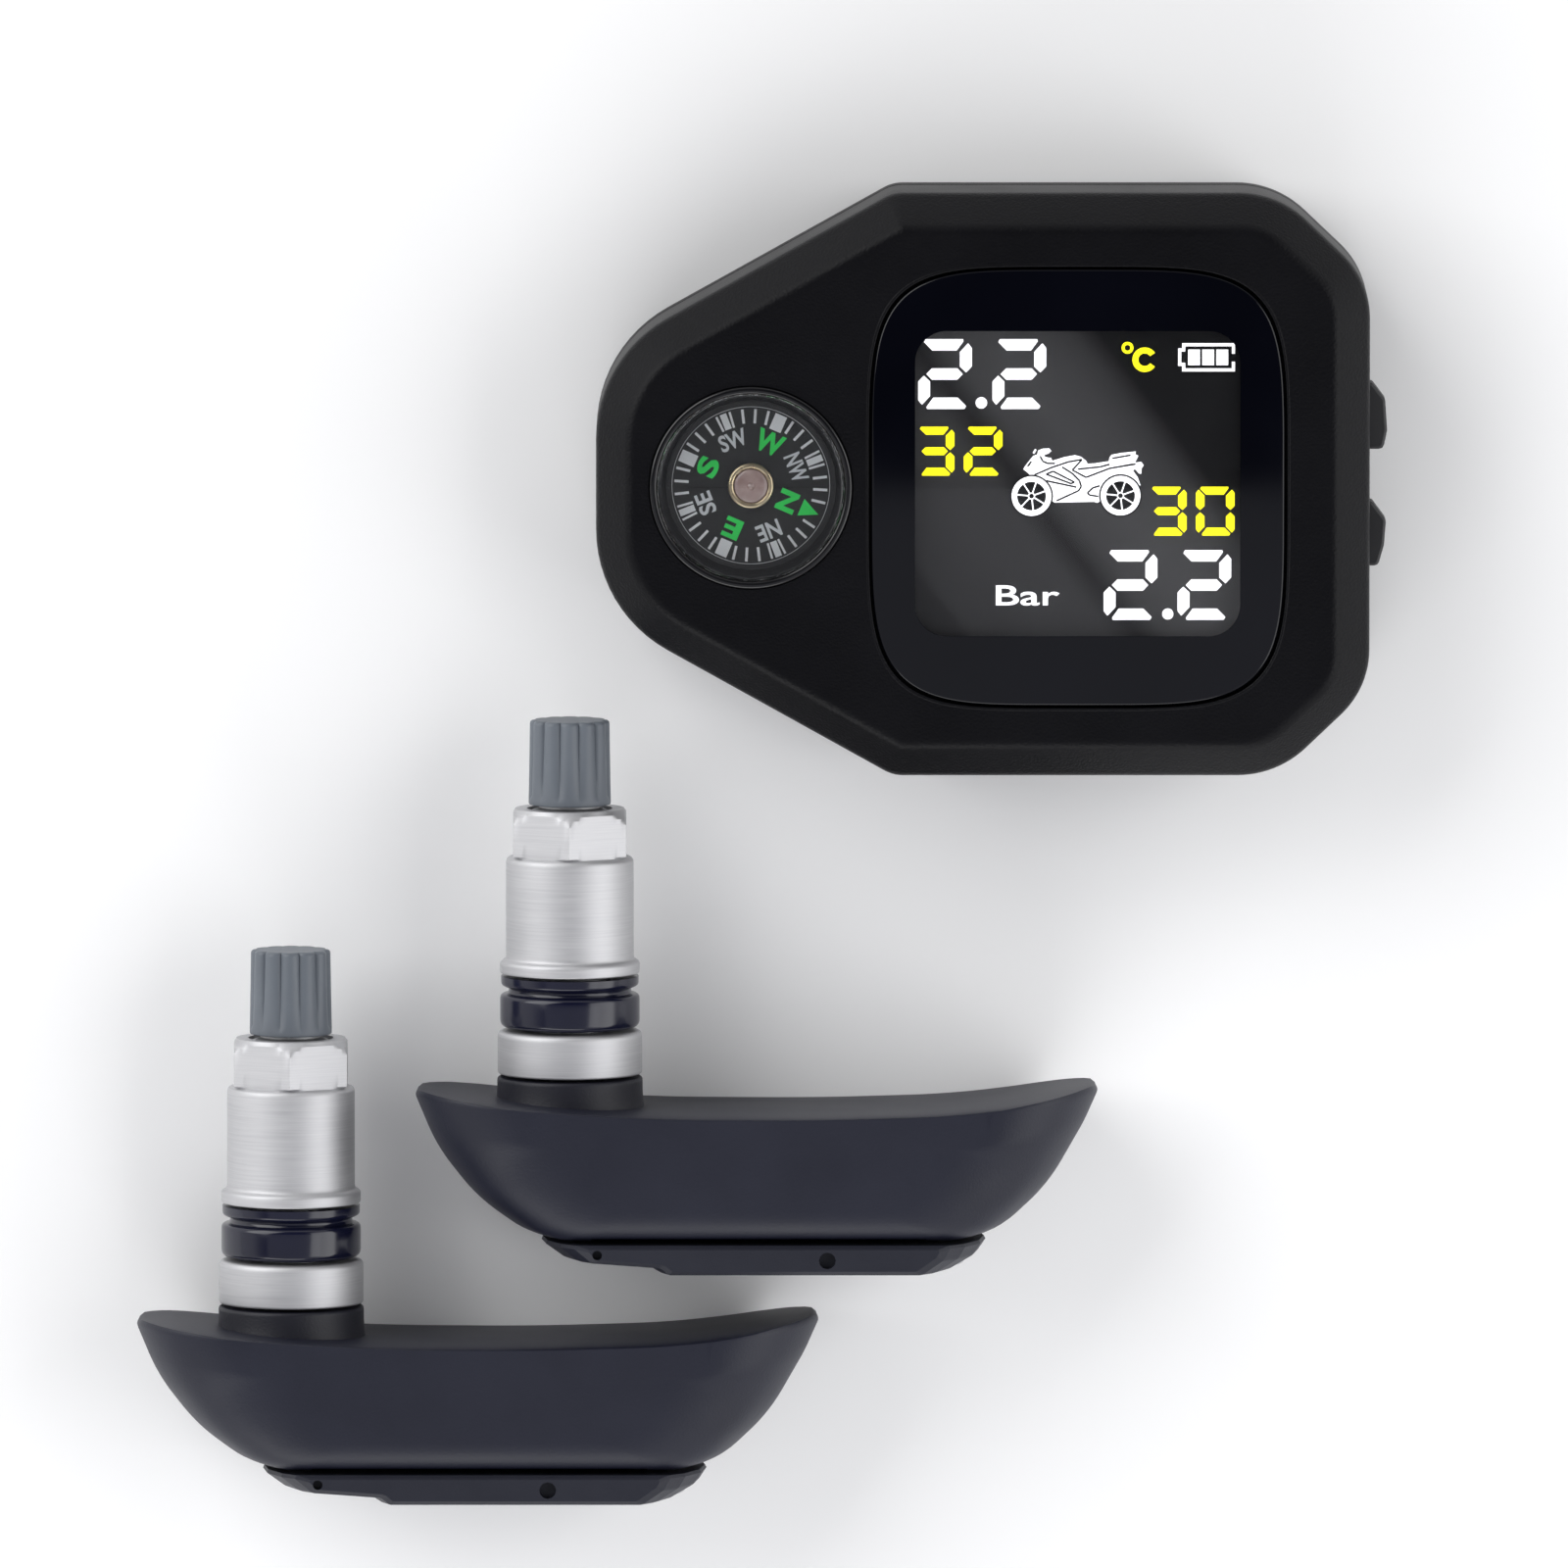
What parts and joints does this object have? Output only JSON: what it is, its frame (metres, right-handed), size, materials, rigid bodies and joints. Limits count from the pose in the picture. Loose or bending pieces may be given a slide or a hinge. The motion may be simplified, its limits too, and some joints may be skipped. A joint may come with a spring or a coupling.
{
  "type": "tire pressure monitor",
  "caption": "Tyre pressure monitor kit: an eight-sided display with compass capsule, screen and side buttons, and wheel sensors with clamp-in valve stems.",
  "frame": {"origin": "centre of the display's rear adhesive pad, on the table that the whole kit lies on", "axes": "+Z out of the display's face, +X to the display's right, +Y to its top; the sensors lie on their sides with their valve stems along +Y"},
  "size_m": [0.1261, 0.1324, 0.022],
  "materials": {
    "front_shell": "fine grained matte black",
    "rear_cover": "fine grained matte black",
    "housing_seal": "soft black",
    "case_screw_1": "zinc plated",
    "case_screw_2": "zinc plated",
    "case_screw_3": "zinc plated",
    "case_screw_4": "zinc plated",
    "mounting_pad": "adhesive foam",
    "display_lens": "smoked gloss",
    "lens_tape": "black tape",
    "lcd_panel": "dark reflective panel",
    "light_guide": "clear acrylic",
    "lcd_frame": "white moulding",
    "lcd_ribbon": "amber film",
    "circuit_board": "green solder mask",
    "board_screw_1": "zinc plated",
    "board_screw_2": "zinc plated",
    "antenna_coil": "bright wire",
    "battery_cell": "foil pouch",
    "usb_socket": "satin",
    "port_plug": "soft black",
    "switch_upper": "black moulding",
    "plunger_upper": "red moulding",
    "button_upper": "dark grey matte",
    "switch_lower": "black moulding",
    "plunger_lower": "red moulding",
    "button_lower": "dark grey matte",
    "buzzer": "black moulding",
    "compass_cup": "black",
    "compass_seal": "soft black",
    "compass_dome": "clear polished",
    "compass_ring": "polished black",
    "compass_card": "printed black dial",
    "compass_magnet": "dull nickel",
    "compass_hub": "copper and brass",
    "compass_pin": "polished point",
    "sensor_housing_a": "dark moulding",
    "sensor_cover_a": "dark moulding",
    "cover_screw_a": "zinc plated",
    "sensor_board_a": "green solder mask",
    "coin_cell_a": "polished can",
    "stem_screw_a": "plated",
    "valve_stem_a": "satin turned",
    "grommet_a": "smooth dark rubber",
    "valve_nut_a": "satin turned",
    "valve_core_a": "turned",
    "core_pin_a": "turned",
    "valve_cap_a": "slate grey",
    "sensor_housing_b": "dark moulding",
    "sensor_cover_b": "dark moulding",
    "cover_screw_b": "zinc plated",
    "sensor_board_b": "green solder mask",
    "coin_cell_b": "polished can",
    "stem_screw_b": "plated",
    "valve_stem_b": "satin turned",
    "grommet_b": "smooth dark rubber",
    "valve_nut_b": "satin turned",
    "valve_core_b": "turned",
    "core_pin_b": "turned",
    "valve_cap_b": "slate grey"
  },
  "bodies": {
    "display": {"front_shell": "front_shell", "rear_cover": "rear_cover", "housing_seal": "housing_seal", "case_screw_1": "case_screw_1", "case_screw_2": "case_screw_2", "case_screw_3": "case_screw_3", "case_screw_4": "case_screw_4", "mounting_pad": "mounting_pad", "display_lens": "display_lens", "lens_tape": "lens_tape", "lcd_panel": "lcd_panel", "light_guide": "light_guide", "lcd_frame": "lcd_frame", "lcd_ribbon": "lcd_ribbon", "circuit_board": "circuit_board", "board_screw_1": "board_screw_1", "board_screw_2": "board_screw_2", "antenna_coil": "antenna_coil", "battery_cell": "battery_cell", "usb_socket": "usb_socket", "switch_upper": "switch_upper", "switch_lower": "switch_lower", "buzzer": "buzzer", "compass_cup": "compass_cup", "compass_seal": "compass_seal", "compass_dome": "compass_dome", "compass_ring": "compass_ring", "compass_pin": "compass_pin"},
    "compass_rose": {"compass_card": "compass_card", "compass_magnet": "compass_magnet", "compass_hub": "compass_hub"},
    "port_plug": {"port_plug": "port_plug"},
    "upper_button": {"button_upper": "button_upper", "plunger_upper": "plunger_upper"},
    "lower_button": {"button_lower": "button_lower", "plunger_lower": "plunger_lower"},
    "sensor_a": {"sensor_housing_a": "sensor_housing_a", "sensor_cover_a": "sensor_cover_a", "cover_screw_a": "cover_screw_a", "sensor_board_a": "sensor_board_a", "coin_cell_a": "coin_cell_a", "stem_screw_a": "stem_screw_a", "valve_stem_a": "valve_stem_a", "grommet_a": "grommet_a", "valve_core_a": "valve_core_a"},
    "nut_a": {"valve_nut_a": "valve_nut_a"},
    "cap_a": {"valve_cap_a": "valve_cap_a"},
    "core_pin_a": {"core_pin_a": "core_pin_a"},
    "sensor_b": {"sensor_housing_b": "sensor_housing_b", "sensor_cover_b": "sensor_cover_b", "cover_screw_b": "cover_screw_b", "sensor_board_b": "sensor_board_b", "coin_cell_b": "coin_cell_b", "stem_screw_b": "stem_screw_b", "valve_stem_b": "valve_stem_b", "grommet_b": "grommet_b", "valve_core_b": "valve_core_b"},
    "nut_b": {"valve_nut_b": "valve_nut_b"},
    "cap_b": {"valve_cap_b": "valve_cap_b"},
    "core_pin_b": {"core_pin_b": "core_pin_b"}
  },
  "joints": [
    {"name": "compass_turn", "type": "hinge", "parent": "display", "child": "compass_rose", "pos_m": [-0.0237, 0, 0.018], "axis": [0, 0, 1], "continuous": true},
    {"name": "upper_button_press", "type": "slide", "parent": "display", "child": "upper_button", "axis": [-1, 0, 0], "range_m": [0, 0.0005], "stiffness_N_per_m": 2500, "springref_m": -0.0002},
    {"name": "lower_button_press", "type": "slide", "parent": "display", "child": "lower_button", "axis": [-1, 0, 0], "range_m": [0, 0.0005], "stiffness_N_per_m": 2500, "springref_m": -0.0002},
    {"name": "port_plug_pull", "type": "slide", "parent": "display", "child": "port_plug", "axis": [0, -1, 0], "range_m": [0, 0.008]},
    {"name": "sensor_a_lift", "type": "slide", "parent": "display", "child": "sensor_a", "axis": [0, 0, 1], "range_m": [0, 0.06]},
    {"name": "valve_nut_a_turn", "type": "hinge", "parent": "sensor_a", "child": "nut_a", "pos_m": [-0.042, -0.0415, 0.011], "axis": [0, 1, 0], "continuous": true},
    {"name": "valve_cap_a_pull", "type": "slide", "parent": "sensor_a", "child": "cap_a", "axis": [0, 1, 0], "range_m": [0, 0.01]},
    {"name": "valve_core_a_press", "type": "slide", "parent": "sensor_a", "child": "core_pin_a", "axis": [0, -1, 0], "range_m": [0, 0.001], "stiffness_N_per_m": 1500, "springref_m": -0.0004},
    {"name": "sensor_b_lift", "type": "slide", "parent": "display", "child": "sensor_b", "axis": [0, 0, 1], "range_m": [0, 0.06]},
    {"name": "valve_nut_b_turn", "type": "hinge", "parent": "sensor_b", "child": "nut_b", "pos_m": [-0.0702, -0.0648, 0.011], "axis": [0, 1, 0], "continuous": true},
    {"name": "valve_cap_b_pull", "type": "slide", "parent": "sensor_b", "child": "cap_b", "axis": [0, 1, 0], "range_m": [0, 0.01]},
    {"name": "valve_core_b_press", "type": "slide", "parent": "sensor_b", "child": "core_pin_b", "axis": [0, -1, 0], "range_m": [0, 0.001], "stiffness_N_per_m": 1500, "springref_m": -0.0004}
  ]
}
